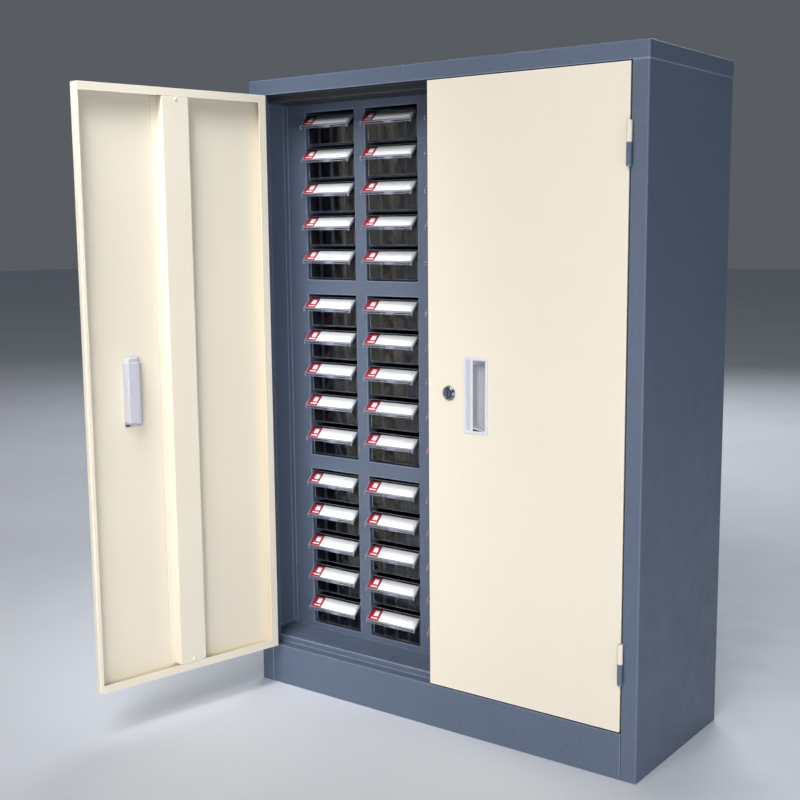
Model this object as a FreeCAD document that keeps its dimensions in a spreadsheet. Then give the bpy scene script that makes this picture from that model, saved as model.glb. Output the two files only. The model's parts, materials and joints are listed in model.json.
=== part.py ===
"""Parts organizer: a two-door steel cabinet with five columns of small clear drawers.

Units are millimetres, +Z is up, the floor is z = 0 and the origin is the centre of the footprint.
The front of the case faces -Y. The left door stands open, the right door is shut.
"""
import FreeCAD, Part
import os
import Sketcher

Vector = FreeCAD.Vector

DIMENSIONS = {
    # case
    "case_width": 700.0,
    "case_depth": 280.0,
    "case_height": 1000.0,
    "gauge": 1.2,
    "bend": 2.0,
    "tight_bend": 1.3,
    "cover_drop": 24.0,
    "cover_round": 2.0,
    "jamb_face": 24.3,
    "jamb_return": 21.0,
    "rear_flange": 12.0,
    "rear_overhang": 2.0,
    "plinth_height": 67.5,
    "rebate_depth": 18.0,
    "riser_height": 11.0,
    "riser_flange": 22.0,
    "header_drop": 10.0,
    "fit_gap": 0.2,
    "liner_gauge": 1.0,
    "liner_gap": 1.0,
    "liner_return": 10.0,
    "liner_foot": 5.0,
    "liner_head": 1.0,
    # drawer grid
    "grille_setback": 80.0,
    "column_count": 5.0,
    "block_count": 3.0,
    "rows_per_block": 5.0,
    "column_pitch": 124.6,
    "bay_width": 103.0,
    "row_pitch": 54.5,
    "rail_height": 24.0,
    "first_block_top": 953.4,
    "bay_wall_end": 128.0,
    "shelf_gauge": 1.0,
    "shelf_lift": 0.9,
    "shelf_setback": 10.0,
    "shelf_end": 126.0,
    # drawer tray, measured from the foot of its front wall
    "tray_setback": 3.0,
    "tray_lift": 2.2,
    "tray_width": 99.5,
    "tray_length": 180.0,
    "tray_height": 47.5,
    "tray_wall": 1.5,
    "lip_reach": 18.5,
    "lip_fall": 17.5,
    "lip_thick": 3.8,
    "lip_rim": 1.2,
    "lip_recess": 0.8,
    "lip_end": 1.6,
    "lip_foot": 2.4,
    "card_thick": 0.6,
    "card_gap": 0.1,
    # doors, measured from their own hinge axis
    "hinge_axis": 325.3,
    "hinge_proud": 4.0,
    "door_edge": 1.6,
    "door_depth": 18.0,
    "door_bottom": 69.6,
    "door_top": 974.4,
    "left_door_reach": 325.3,
    "right_door_reach": 323.1,
    "left_door_angle": 102.2,
    "door_lip_side": 13.0,
    "door_lip_end": 12.0,
    "joggle_depth": 9.5,
    "joggle_step": 2.0,
    "stiffener_centre": 165.5,
    "stiffener_face": 46.0,
    "stiffener_flange": 11.0,
    # hinges
    "knuckle_radius": 3.75,
    "knuckle_bore": 2.05,
    "pin_radius": 2.0,
    "pin_head_radius": 3.2,
    "pin_head": 1.2,
    "pin_short": 1.0,
    "leaf_gauge": 0.7,
    "leaf_reach": 18.0,
    "upper_hinge_bottom": 841.8,
    "lower_hinge_bottom": 140.0,
    "fixed_knuckle": 29.8,
    "moving_knuckle": 27.9,
    "knuckle_gap": 0.3,
    # recessed pulls
    "pull_height": 522.6,
    "skin_cut_start": 3.0,
    "skin_cut": 4.0,
    "left_pull_reach": 252.4,
    "right_pull_reach": 238.2,
    "pull_width": 41.0,
    "pull_length": 112.0,
    "pull_proud": 1.8,
    "cup_length": 106.0,
    "cup_depth": 16.5,
    "cup_wall": 2.0,
    "cup_round": 10.0,
    "cup_clearance": 0.2,
    "grip_width": 14.4,
    "grip_thick": 3.0,
    "mouth_side": 4.6,
    "mouth_end": 4.2,
    # lock
    "lock_reach": 285.6,
    "lock_height": 523.4,
    "bezel_radius": 11.0,
    "bezel_proud": 4.0,
    "bezel_chamfer": 1.0,
    "barrel_radius": 9.5,
    "barrel_length": 17.0,
    "barrel_hole": 9.6,
    "plug_radius": 6.0,
    "plug_bore": 6.05,
    "plug_proud": 5.0,
    "plug_length": 24.0,
    "keyway_width": 1.8,
    "keyway_length": 8.0,
    "keyway_depth": 3.0,
    "nut_flats": 24.0,
    "nut_thick": 3.0,
    "cam_width": 14.0,
    "cam_length": 52.0,
    "cam_thick": 2.5,
    "cam_screw_radius": 2.4,
    "cam_hole_radius": 2.5,
    "cam_screw_flats": 8.0,
    "cam_screw_head": 3.5,
}

doc = FreeCAD.newDocument("parts_organizer")
sheet = doc.addObject("Spreadsheet::Sheet", "Sizes")


def fill_sheet():
    """Writes every driving dimension beside its name and gives it that name as an alias."""
    for row, (alias, value) in enumerate(DIMENSIONS.items(), start=1):
        sheet.set(f"A{row}", alias)
        sheet.set(f"B{row}", str(value))
        sheet.setAlias(f"B{row}", alias)
    doc.recompute()


def size(alias):
    """One driving dimension, read from the sheet."""
    return float(sheet.get(alias))


def number(expression):
    """The value of an expression over the sheet."""
    return float(sheet.evalExpression(expression))


def bind(thing, **expressions):
    """Ties properties to the sheet; a double underscore stands for a dot."""
    for name, expression in expressions.items():
        thing.setExpression(name.replace("__", "."), expression)


# ---------------------------------------------------------------- sketch and body helpers


def new_body(label):
    body = doc.addObject("PartDesign::Body", label)
    body.Label = label
    return body


def origin_plane(body, role):
    return next(f for f in body.Origin.OriginFeatures if f.Role == role)


def new_sketch(body, name, role, offset):
    sketch = body.newObject("Sketcher::SketchObject", name)
    sketch.AttachmentSupport = (origin_plane(body, role), [""])
    sketch.MapMode = "FlatFace"
    sketch.setExpression("AttachmentOffset.Base.z", offset)
    return sketch


def pin_point(sketch, geometry, which, x, y):
    """Holds one sketch point at two expressions from the sketch origin."""
    for kind, expression in (("DistanceX", x), ("DistanceY", y)):
        value = number(expression)
        index = sketch.addConstraint(Sketcher.Constraint(kind, -1, 1, geometry, which, value))
        sketch.setExpression(f"Constraints[{index}]", expression)


def outline(body, name, role, points, offset="0"):
    """A closed outline whose corners are pairs of expressions."""
    sketch = new_sketch(body, name, role, offset)
    corners = [Vector(number(x), number(y), 0) for x, y in points]
    count = len(corners)
    for i in range(count):
        sketch.addGeometry(Part.LineSegment(corners[i], corners[(i + 1) % count]), False)
    for i in range(count):
        sketch.addConstraint(Sketcher.Constraint("Coincident", i, 2, (i + 1) % count, 1))
    for i, (x, y) in enumerate(points):
        pin_point(sketch, i, 1, x, y)
    return sketch


def rectangle(body, name, role, x0, x1, y0, y1, offset="0"):
    return outline(body, name, role, [(x0, y0), (x1, y0), (x1, y1), (x0, y1)], offset)


def disc(body, name, role, x, y, radius, offset="0"):
    sketch = new_sketch(body, name, role, offset)
    centre = Vector(number(x), number(y), 0)
    sketch.addGeometry(Part.Circle(centre, Vector(0, 0, 1), number(radius)), False)
    pin_point(sketch, 0, 3, x, y)
    index = sketch.addConstraint(Sketcher.Constraint("Radius", 0, number(radius)))
    sketch.setExpression(f"Constraints[{index}]", radius)
    return sketch


def pad(body, sketch, length):
    feature = body.newObject("PartDesign::Pad", sketch.Name + "_pad")
    feature.Profile = sketch
    feature.setExpression("Length", length)
    sketch.Visibility = False
    doc.recompute()
    return feature


def pocket(body, sketch, length):
    """Cuts a pocket away from the sketch normal and makes sure that it removed material."""
    before = body.Shape.Volume
    feature = body.newObject("PartDesign::Pocket", sketch.Name + "_pocket")
    feature.Profile = sketch
    feature.setExpression("Length", length)
    sketch.Visibility = False
    doc.recompute()
    if body.Shape.Volume > before - 1e-3:
        raise RuntimeError(f"{body.Label}: {feature.Name} cut nothing")
    return feature


def edge_names(shape, wanted):
    return [f"Edge{i}" for i, edge in enumerate(shape.Edges, start=1) if wanted(edge)]


def fillet(body, base, name, radius, wanted):
    edges = edge_names(base.Shape, wanted)
    if not edges:
        raise RuntimeError(f"{body.Label}: {name} found no edge")
    feature = body.newObject("PartDesign::Fillet", name)
    feature.Base = (base, edges)
    feature.setExpression("Radius", radius)
    doc.recompute()
    return feature


def is_upright(edge):
    box = edge.BoundBox
    return box.ZLength > 1.0 and box.XLength < 1e-6 and box.YLength < 1e-6


def round_bends(body, base, name, radius, corners, along="Z"):
    """Rounds the long straight edges of a fold that pass through the given section corners."""
    targets = [(number(a), number(b)) for a, b in corners]

    def on_a_bend(edge):
        box = edge.BoundBox
        if along == "Z":
            low, high = (box.XMin, box.YMin), (box.XMax, box.YMax)
        else:
            low, high = (box.YMin, box.ZMin), (box.YMax, box.ZMax)
        return any(max(abs(low[0] - a), abs(high[0] - a), abs(low[1] - b), abs(high[1] - b)) < 1e-5
                   for a, b in targets)

    return fillet(body, base, name, radius, on_a_bend)


def place(thing, x, y, z, angle="0"):
    """Moves a sub-part by expressions and turns it about +Z."""
    thing.Placement = FreeCAD.Placement(Vector(0, 0, 0), FreeCAD.Rotation(Vector(0, 0, 1), 0))
    bind(thing, Placement__Base__x=x, Placement__Base__y=y, Placement__Base__z=z)
    if angle != "0":
        turn = FreeCAD.Rotation(Vector(0, 0, 1), number(angle))
        thing.Placement = FreeCAD.Placement(thing.Placement.Base, turn)
        bind(thing, Placement__Rotation__Angle=angle)


def block(x0, x1, y0, y1, z0, z1):
    return Part.makeBox(x1 - x0, y1 - y0, z1 - z0, Vector(x0, y0, z0))


def feature_of(label, solids):
    """One sub-part made of several separate solids."""
    thing = doc.addObject("Part::Feature", label)
    thing.Label = label
    thing.Shape = Part.makeCompound(solids)
    return thing


def mirror_x(sign, expression):
    return f"{sign}1 * ({expression})"


# ---------------------------------------------------------------- case

FRONT = "-Sizes.case_depth / 2"
BACK = "Sizes.case_depth / 2"
CASE_BACK = "(Sizes.case_depth / 2 - Sizes.rear_overhang)"
HALF = "Sizes.case_width / 2"
SEAM = "(Sizes.case_height - Sizes.cover_drop)"
INNER_HALF = "(Sizes.case_width / 2 - Sizes.gauge)"
JAMB_INNER = "(Sizes.case_width / 2 - Sizes.jamb_face)"
REBATE = "(-Sizes.case_depth / 2 + Sizes.rebate_depth)"
FLOOR_TOP = "(Sizes.plinth_height + Sizes.riser_height)"
GRILLE = "(-Sizes.case_depth / 2 + Sizes.grille_setback)"
BACK_INNER = "(Sizes.case_depth / 2 - Sizes.rear_overhang - 2 * Sizes.gauge)"


def side_panel(label, sign):
    """A folded side: jamb return, front jamb, side wall and rear flange."""
    return_end = f"{FRONT} + Sizes.jamb_return"
    jamb_back = f"{JAMB_INNER} + Sizes.gauge"
    points = [
        (JAMB_INNER, return_end),
        (JAMB_INNER, FRONT),
        (HALF, FRONT),
        (HALF, CASE_BACK),
        (f"{HALF} - Sizes.rear_flange", CASE_BACK),
        (f"{HALF} - Sizes.rear_flange", f"{CASE_BACK} - Sizes.gauge"),
        (INNER_HALF, f"{CASE_BACK} - Sizes.gauge"),
        (INNER_HALF, f"{FRONT} + Sizes.gauge"),
        (jamb_back, f"{FRONT} + Sizes.gauge"),
        (jamb_back, return_end),
    ]
    points = [(mirror_x(sign, x), y) for x, y in points]
    body = new_body(label)
    fold = pad(body, outline(body, label + "_fold", "XY_Plane", points), SEAM)
    round_bends(body, fold, label + "_bends", "Sizes.bend", points[1:4])


def top_cover():
    """A shallow inverted tray that closes the case, with softly bent outer edges."""
    body = new_body("top_cover")
    outer = rectangle(body, "cover_outer", "XY_Plane", "-" + HALF, HALF, FRONT, BACK, SEAM)
    shell = pad(body, outer, "Sizes.cover_drop")
    top = size("case_height")
    fillet(body, shell, "cover_bends", "Sizes.cover_round",
           lambda edge: is_upright(edge) or edge.BoundBox.ZMin > top - 1e-3)
    under = f"{SEAM} + Sizes.cover_drop - Sizes.gauge"
    inner = rectangle(body, "cover_inner", "XY_Plane", "-" + INNER_HALF, INNER_HALF,
                      f"{FRONT} + Sizes.gauge", f"{BACK} - Sizes.gauge", under)
    pocket(body, inner, "Sizes.cover_drop")


def back_panel():
    body = new_body("back_panel")
    half = f"{INNER_HALF} - Sizes.fit_gap"
    sketch = rectangle(body, "back_sheet", "XY_Plane", "-(" + half + ")", half,
                       BACK_INNER, f"{CASE_BACK} - Sizes.gauge")
    pad(body, sketch, SEAM)


def notched_sheet(label, front, offset):
    """A level sheet that narrows at the front to pass between the two jamb returns."""
    narrow = f"({JAMB_INNER} - Sizes.fit_gap)"
    wide = f"({INNER_HALF} - Sizes.fit_gap)"
    step = f"{FRONT} + Sizes.jamb_return + Sizes.fit_gap"
    points = [
        ("-" + narrow, front),
        (narrow, front),
        (narrow, step),
        (wide, step),
        (wide, BACK_INNER),
        ("-" + wide, BACK_INNER),
        ("-" + wide, step),
        ("-" + narrow, step),
    ]
    body = new_body(label)
    pad(body, outline(body, label + "_blank", "XY_Plane", points, offset), "Sizes.gauge")


def cross_rail(label, points, bends):
    """A folded strip that runs between the two jamb returns; points and bends are (y, z)."""
    body = new_body(label)
    half = f"({JAMB_INNER} - Sizes.fit_gap)"
    fold = pad(body, outline(body, label + "_fold", "YZ_Plane", points, "-" + half), f"2 * {half}")
    round_bends(body, fold, label + "_bends", "Sizes.tight_bend", bends, "X")


def plinth():
    """Kick plate, door rebate ledge, riser and a flange under the floor shelf."""
    top = "Sizes.plinth_height"
    under_floor = f"{FLOOR_TOP} - Sizes.gauge"
    flange_end = f"{REBATE} + Sizes.riser_flange"
    cross_rail("plinth", [
        (FRONT, "0"),
        (f"{FRONT} + Sizes.gauge", "0"),
        (f"{FRONT} + Sizes.gauge", f"{top} - Sizes.gauge"),
        (f"{REBATE} + Sizes.gauge", f"{top} - Sizes.gauge"),
        (f"{REBATE} + Sizes.gauge", f"{under_floor} - Sizes.gauge"),
        (flange_end, f"{under_floor} - Sizes.gauge"),
        (flange_end, under_floor),
        (REBATE, under_floor),
        (REBATE, top),
        (FRONT, top),
    ], [(FRONT, top)])


def header_rail():
    """Ledge under the cover, door stop lip and a ceiling that runs back to the grille."""
    inside = f"{FRONT} + Sizes.gauge + Sizes.fit_gap"
    low = f"{SEAM} - Sizes.header_drop"
    end = f"{GRILLE} - Sizes.fit_gap"
    cross_rail("header_rail", [
        (inside, SEAM),
        (REBATE, SEAM),
        (REBATE, low),
        (end, low),
        (end, f"{low} + Sizes.gauge"),
        (f"{REBATE} + Sizes.gauge", f"{low} + Sizes.gauge"),
        (f"{REBATE} + Sizes.gauge", f"{SEAM} + Sizes.gauge"),
        (inside, f"{SEAM} + Sizes.gauge"),
    ], [(REBATE, low)])


def jamb_liners():
    """An L-shaped liner inside each side wall, from the jamb return to the grille."""
    wall = number(INNER_HALF)
    front = number(FRONT) + size("jamb_return") + size("liner_gap")
    back = number(GRILLE)
    low = number(FLOOR_TOP) + size("liner_foot")
    high = number(SEAM) - size("header_drop") - size("liner_head")
    thick = size("liner_gauge")
    solids = []
    for sign in (-1, 1):
        side = [sign * wall, sign * (wall - thick)]
        turned = [sign * (wall - thick), sign * (wall - size("liner_return"))]
        solids.append(block(min(side), max(side), front, back, low, high))
        solids.append(block(min(turned), max(turned), back - thick, back, low, high))
    feature_of("jamb_liners", solids)


# ---------------------------------------------------------------- drawer housing


def columns():
    """Centres of the drawer columns, left to right."""
    count = int(size("column_count"))
    return [(i - (count - 1) / 2) * size("column_pitch") for i in range(count)]


def block_tops():
    """Upper edges of the window rows, top to bottom."""
    pitch = size("rows_per_block") * size("row_pitch") + size("rail_height")
    return [size("first_block_top") - i * pitch for i in range(int(size("block_count")))]


def row_floors():
    """Lower edge of every drawer row, top to bottom."""
    rows = int(size("rows_per_block"))
    return [top - (i + 1) * size("row_pitch") for top in block_tops() for i in range(rows)]


def drawer_grille():
    """Upright posts and the cross rails between them, all in one plane."""
    front = number(GRILLE)
    back = front + size("gauge")
    low = number(FLOOR_TOP)
    high = number(SEAM)
    bay = size("bay_width") / 2
    edge = number(INNER_HALF) - size("fit_gap")
    lefts = [-edge] + [x + bay for x in columns()]
    rights = [x - bay for x in columns()] + [edge]
    solids = [block(a, b, front, back, low, high) for a, b in zip(lefts, rights)]
    window = size("rows_per_block") * size("row_pitch")
    uppers = [high] + [top - window for top in block_tops()]
    lowers = block_tops() + [low]
    for x in columns():
        for upper, lower in zip(uppers, lowers):
            solids.append(block(x - bay, x + bay, front, back, lower, upper))
    feature_of("drawer_grille", solids)


def drawer_rack():
    """Bay walls behind the posts and the shelf strip under every drawer."""
    front = number(GRILLE) + size("gauge")
    low = number(FLOOR_TOP)
    high = number(SEAM)
    bay = size("bay_width") / 2
    thick = size("gauge")
    solids = []
    for x in columns():
        solids.append(block(x - bay - thick, x - bay, front, size("bay_wall_end"), low, high))
        solids.append(block(x + bay, x + bay + thick, front, size("bay_wall_end"), low, high))
    shelf_front = number(GRILLE) + size("shelf_setback")
    for x in columns():
        for floor in row_floors():
            z = floor + size("shelf_lift")
            solids.append(block(x - bay, x + bay, shelf_front, size("shelf_end"),
                                z, z + size("shelf_gauge")))
    feature_of("drawer_rack", solids)


# ---------------------------------------------------------------- drawers


def tray_body():
    """The pattern tray. Its front wall stands at y = 0 and its sloping label lip reaches forward."""
    body = new_body("tray_pattern")
    half = "Sizes.tray_width / 2"
    wall = "Sizes.tray_wall"
    outer = rectangle(body, "tray_outer", "XY_Plane", "-" + half, half, "0", "Sizes.tray_length")
    pad(body, outer, "Sizes.tray_height")
    inner = rectangle(body, "tray_inner", "XY_Plane", f"-{half} + {wall}", f"{half} - {wall}",
                      wall, f"Sizes.tray_length - {wall}", "Sizes.tray_height")
    pocket(body, inner, f"Sizes.tray_height - {wall}")
    reach = "-Sizes.lip_reach"
    rim = "(-Sizes.lip_reach + Sizes.lip_rim)"
    slope = "Sizes.lip_fall / Sizes.lip_reach"
    top = "Sizes.tray_height"
    front_top = "(Sizes.tray_height - Sizes.lip_fall)"
    lip = [
        ("0", f"{top} - Sizes.lip_recess"),
        (rim, f"{top} + {rim} * {slope} - Sizes.lip_recess"),
        (rim, f"{top} + {rim} * {slope}"),
        (reach, front_top),
        (reach, f"{front_top} - Sizes.lip_thick"),
        ("0", f"{top} - Sizes.lip_thick"),
    ]
    pad(body, outline(body, "tray_lip", "YZ_Plane", lip, "-" + half), "Sizes.tray_width")
    end_plate = [
        ("0", top),
        (reach, front_top),
        (reach, f"{front_top} - Sizes.lip_thick - Sizes.lip_foot"),
        ("0", f"{top} - Sizes.lip_thick - Sizes.lip_foot"),
    ]
    for name, start in (("left", "-" + half), ("right", f"{half} - Sizes.lip_end")):
        pad(body, outline(body, f"tray_{name}_end", "YZ_Plane", end_plate, start), "Sizes.lip_end")
    return body


def card_body():
    """The paper label that lies in the recess of the lip."""
    body = new_body("card_pattern")
    half = "(Sizes.tray_width / 2 - Sizes.lip_end - Sizes.card_gap)"
    slope = "Sizes.lip_fall / Sizes.lip_reach"
    near = "(-Sizes.card_gap)"
    far = "(-Sizes.lip_reach + Sizes.lip_rim + Sizes.card_gap)"
    base = "Sizes.tray_height - Sizes.lip_recess"
    points = [
        (near, f"{base} + {near} * {slope}"),
        (near, f"{base} + {near} * {slope} + Sizes.card_thick"),
        (far, f"{base} + {far} * {slope} + Sizes.card_thick"),
        (far, f"{base} + {far} * {slope}"),
    ]
    pad(body, outline(body, "card_edge", "YZ_Plane", points, "-" + half), f"2 * {half}")
    return body


def drawers():
    """Every tray with its card: one sub-part each in the two left columns, one per column elsewhere."""
    tray = tray_body().Shape
    card = card_body().Shape
    y = number(GRILLE) + size("tray_setback")
    for column, x in enumerate(columns(), start=1):
        stack = []
        for row, floor in enumerate(row_floors(), start=1):
            spot = Vector(x, y, floor + size("tray_lift"))
            if column <= 2:
                drawer = feature_of(f"drawer_{column}_{row:02d}", [tray.Solids[0], card.Solids[0]])
                drawer.Placement = FreeCAD.Placement(spot, FreeCAD.Rotation())
            else:
                stack += [shape.Solids[0].translated(spot) for shape in (tray, card)]
        if stack:
            feature_of(f"column_{column}_drawers", stack)


# ---------------------------------------------------------------- doors

AXIS_Y = f"({FRONT} - Sizes.hinge_proud)"
SKIN = "Sizes.hinge_proud"
DOOR_BACK = "(Sizes.hinge_proud + Sizes.door_depth)"


def place_on_door(thing, left, along="0", depth="0", height="0"):
    """Puts a sub-part on its door. along runs from the hinge axis, depth from the axis line."""
    if left:
        swing = "-Sizes.left_door_angle"
        place(thing,
              f"-Sizes.hinge_axis + ({along}) * cos({swing} * 1deg) - ({depth}) * sin({swing} * 1deg)",
              f"{AXIS_Y} + ({along}) * sin({swing} * 1deg) + ({depth}) * cos({swing} * 1deg)",
              height, swing)
    else:
        place(thing, f"Sizes.hinge_axis - ({along})", f"{AXIS_Y} + ({depth})", height)


def door_panel(left):
    """A folded pan: skin, hinge side with lip, joggled free edge, and lipped head and foot."""
    label = "left_door_panel" if left else "right_door_panel"
    sign = "" if left else "-"
    reach = "Sizes.left_door_reach" if left else "Sizes.right_door_reach"
    edge = "Sizes.door_edge"
    thin = "Sizes.gauge"
    step_depth = f"{SKIN} + Sizes.joggle_depth"
    inner_reach = f"{reach} - Sizes.joggle_step"
    points = [
        (f"{edge} + Sizes.door_lip_side", DOOR_BACK),
        (edge, DOOR_BACK),
        (edge, SKIN),
        (reach, SKIN),
        (reach, step_depth),
        (inner_reach, step_depth),
        (inner_reach, DOOR_BACK),
        (f"{inner_reach} - {thin}", DOOR_BACK),
        (f"{inner_reach} - {thin}", f"{step_depth} - {thin}"),
        (f"{reach} - {thin}", f"{step_depth} - {thin}"),
        (f"{reach} - {thin}", f"{SKIN} + {thin}"),
        (f"{edge} + {thin}", f"{SKIN} + {thin}"),
        (f"{edge} + {thin}", f"{DOOR_BACK} - {thin}"),
        (f"{edge} + Sizes.door_lip_side", f"{DOOR_BACK} - {thin}"),
    ]
    points = [(mirror_x(sign, x), y) for x, y in points]
    body = new_body(label)
    fold = pad(body, outline(body, label + "_fold", "XY_Plane", points, "Sizes.door_bottom"),
               "Sizes.door_top - Sizes.door_bottom")
    start = edge if left else f"-({inner_reach})"
    span = f"{inner_reach} - {edge}"
    for name, end, way in (("head", "Sizes.door_top", "-"), ("foot", "Sizes.door_bottom", "+")):
        cap = [
            (SKIN, end),
            (DOOR_BACK, end),
            (DOOR_BACK, f"{end} {way} Sizes.door_lip_end"),
            (f"{DOOR_BACK} - {thin}", f"{end} {way} Sizes.door_lip_end"),
            (f"{DOOR_BACK} - {thin}", f"{end} {way} {thin}"),
            (SKIN, f"{end} {way} {thin}"),
        ]
        fold = pad(body, outline(body, f"{label}_{name}", "YZ_Plane", cap, start), span)
    round_bends(body, fold, label + "_bends", "Sizes.tight_bend", points[2:4])
    cut_pull_hole(body, label, left, sign)
    if not left:
        hole = disc(body, "lock_hole", "XZ_Plane", "-Sizes.lock_reach", "Sizes.lock_height",
                    "Sizes.barrel_hole", "-Sizes.skin_cut_start")
        pocket(body, hole, "Sizes.skin_cut")
    place_on_door(body, left)


def handed(left, far, near):
    """A pair of across positions, the first nearer the hinge, as low and high on either hand."""
    return (far, near) if left else (f"-({near})", f"-({far})")


# The mouth of a pull, from its bezel's centre: one edge towards the hinge, one towards the free edge.
MOUTH_FAR = "(Sizes.mouth_side - Sizes.pull_width / 2)"
MOUTH_NEAR = "(Sizes.pull_width / 2 - Sizes.grip_width)"
CUP_FAR = f"({MOUTH_FAR} - Sizes.cup_wall)"
CUP_NEAR = f"({MOUTH_NEAR} + Sizes.cup_wall)"


def cut_pull_hole(body, label, left, sign):
    """The rectangular opening that a pull is pushed into."""
    reach = "Sizes.left_pull_reach" if left else "Sizes.right_pull_reach"
    low, high = handed(left, f"{CUP_FAR} - Sizes.cup_clearance", f"{CUP_NEAR} + Sizes.cup_clearance")
    half_z = "(Sizes.cup_length / 2 + Sizes.cup_clearance)"
    hole = rectangle(body, label + "_pull_hole", "XZ_Plane",
                     f"{sign}{reach} + ({low})", f"{sign}{reach} + ({high})",
                     f"Sizes.pull_height - {half_z}", f"Sizes.pull_height + {half_z}",
                     "-Sizes.skin_cut_start")
    pocket(body, hole, "Sizes.skin_cut")


def door_stiffener(left):
    """A hat channel welded down the middle of the door, level with the lips."""
    label = "left_door_stiffener" if left else "right_door_stiffener"
    sign = "" if left else "-"
    thin = "Sizes.gauge"
    near = f"{SKIN} + {thin}"
    centre = "Sizes.stiffener_centre"
    face = "Sizes.stiffener_face / 2"
    foot = f"{face} - {thin} + Sizes.stiffener_flange"
    half = [
        (foot, near),
        (foot, f"{near} + {thin}"),
        (face, f"{near} + {thin}"),
        (face, DOOR_BACK),
    ]
    inner = [
        (f"{face} - {thin}", f"{DOOR_BACK} - {thin}"),
        (f"{face} - {thin}", near),
    ]
    points = [(f"{centre} - ({x})", y) for x, y in half]
    points += [(f"{centre} + ({x})", y) for x, y in reversed(half)]
    points += [(f"{centre} + ({x})", y) for x, y in reversed(inner)]
    points += [(f"{centre} - ({x})", y) for x, y in inner]
    points = [(mirror_x(sign, x), y) for x, y in points]
    low = "Sizes.door_bottom + Sizes.door_lip_end + Sizes.fit_gap"
    high = "Sizes.door_top - Sizes.door_lip_end - Sizes.fit_gap"
    body = new_body(label)
    hat = pad(body, outline(body, label + "_fold", "XY_Plane", points, low), f"{high} - ({low})")
    round_bends(body, hat, label + "_bends", "Sizes.tight_bend", points[3:5])
    place_on_door(body, left)


def door_pull(left):
    """A moulded cup behind a bezel, with a grip plate between its mouth and the door's free edge."""
    label = "left_door_pull" if left else "right_door_pull"
    body = new_body(label)
    cup_z = "Sizes.cup_length / 2"
    plate_x = "Sizes.pull_width / 2"
    plate_z = "Sizes.pull_length / 2"
    plate = rectangle(body, label + "_bezel", "XZ_Plane", "-" + plate_x, plate_x, "-" + plate_z, plate_z)
    bezel = pad(body, plate, "Sizes.pull_proud")
    front = -size("pull_proud")
    fillet(body, bezel, label + "_bezel_round", "Sizes.pull_proud / 2",
           lambda edge: abs(edge.BoundBox.YMax - front) < 1e-6)
    cup = rectangle(body, label + "_cup", "XZ_Plane", *handed(left, CUP_FAR, CUP_NEAR),
                    "-" + cup_z, cup_z, "-Sizes.cup_depth")
    pad(body, cup, "Sizes.cup_depth")
    hand = "" if left else "-"
    wall = "Sizes.cup_wall"
    cavity = rectangle(body, label + "_cavity", "XZ_Plane", *handed(left, MOUTH_FAR, MOUTH_NEAR),
                       f"-{cup_z} + {wall}", f"{cup_z} - {wall}",
                       "Sizes.pull_proud - Sizes.grip_thick")
    hollow = pocket(body, cavity, f"Sizes.cup_depth - {wall} + Sizes.pull_proud - Sizes.grip_thick")
    curved = round_bends(body, hollow, label + "_cavity_round", f"Sizes.cup_round - {wall}",
                         [(mirror_x(hand, MOUTH_FAR), f"Sizes.cup_depth - {wall}")])
    round_bends(body, curved, label + "_cup_round", "Sizes.cup_round",
                [(mirror_x(hand, CUP_FAR), "Sizes.cup_depth")])
    mouth = rectangle(body, label + "_mouth", "XZ_Plane", *handed(left, MOUTH_FAR, MOUTH_NEAR),
                      f"-{plate_z} + Sizes.mouth_end", f"{plate_z} - Sizes.mouth_end",
                      "2 * Sizes.pull_proud")
    pocket(body, mouth, "Sizes.pull_proud + Sizes.grip_thick")
    reach = "Sizes.left_pull_reach" if left else "Sizes.right_pull_reach"
    place_on_door(body, left, reach, SKIN, "Sizes.pull_height")


# ---------------------------------------------------------------- hinges


def knuckle(x, y, z, length, leaf_near, leaf_far):
    """A bored barrel with a thin leaf that runs back from its axis."""
    barrel = Part.makeCylinder(size("knuckle_radius"), length, Vector(x, y, z))
    low, high = sorted((x + leaf_near, x + leaf_far))
    leaf = block(low, high, y, y + size("leaf_reach"), z, z + length)
    bore = Part.makeCylinder(size("knuckle_bore"), length, Vector(x, y, z))
    return barrel.fuse(leaf).cut(bore).removeSplitter()


def hinge_levels():
    return [size("lower_hinge_bottom"), size("upper_hinge_bottom")]


def case_knuckles():
    """The lower halves of the four hinges, welded to the jamb returns."""
    y = number(AXIS_Y)
    face = number(JAMB_INNER) - size("hinge_axis")
    solids = []
    for sign in (-1, 1):
        for z in hinge_levels():
            solids.append(knuckle(sign * size("hinge_axis"), y, z, size("fixed_knuckle"),
                                  sign * face, sign * (face - size("leaf_gauge"))))
    feature_of("case_hinge_knuckles", solids)


def hinge_pins():
    """Four headed pins that stand in the lower knuckles."""
    y = number(AXIS_Y)
    length = size("fixed_knuckle") + size("knuckle_gap") + size("moving_knuckle") - size("pin_short")
    solids = []
    for sign in (-1, 1):
        for z in hinge_levels():
            x = sign * size("hinge_axis")
            head = Part.makeCylinder(size("pin_head_radius"), size("pin_head"),
                                     Vector(x, y, z - size("pin_head")))
            shank = Part.makeCylinder(size("pin_radius"), length, Vector(x, y, z))
            solids.append(head.fuse(shank).removeSplitter())
    feature_of("hinge_pins", solids)


def door_knuckles(left):
    """The upper halves of one door's two hinges, welded to the door edge."""
    sign = 1 if left else -1
    edge = size("door_edge")
    lift = size("fixed_knuckle") + size("knuckle_gap")
    solids = [knuckle(0, 0, z + lift, size("moving_knuckle"),
                      sign * edge, sign * (edge - size("leaf_gauge")))
              for z in hinge_levels()]
    thing = feature_of("left_door_knuckles" if left else "right_door_knuckles", solids)
    place_on_door(thing, left)


# ---------------------------------------------------------------- lock


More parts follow.
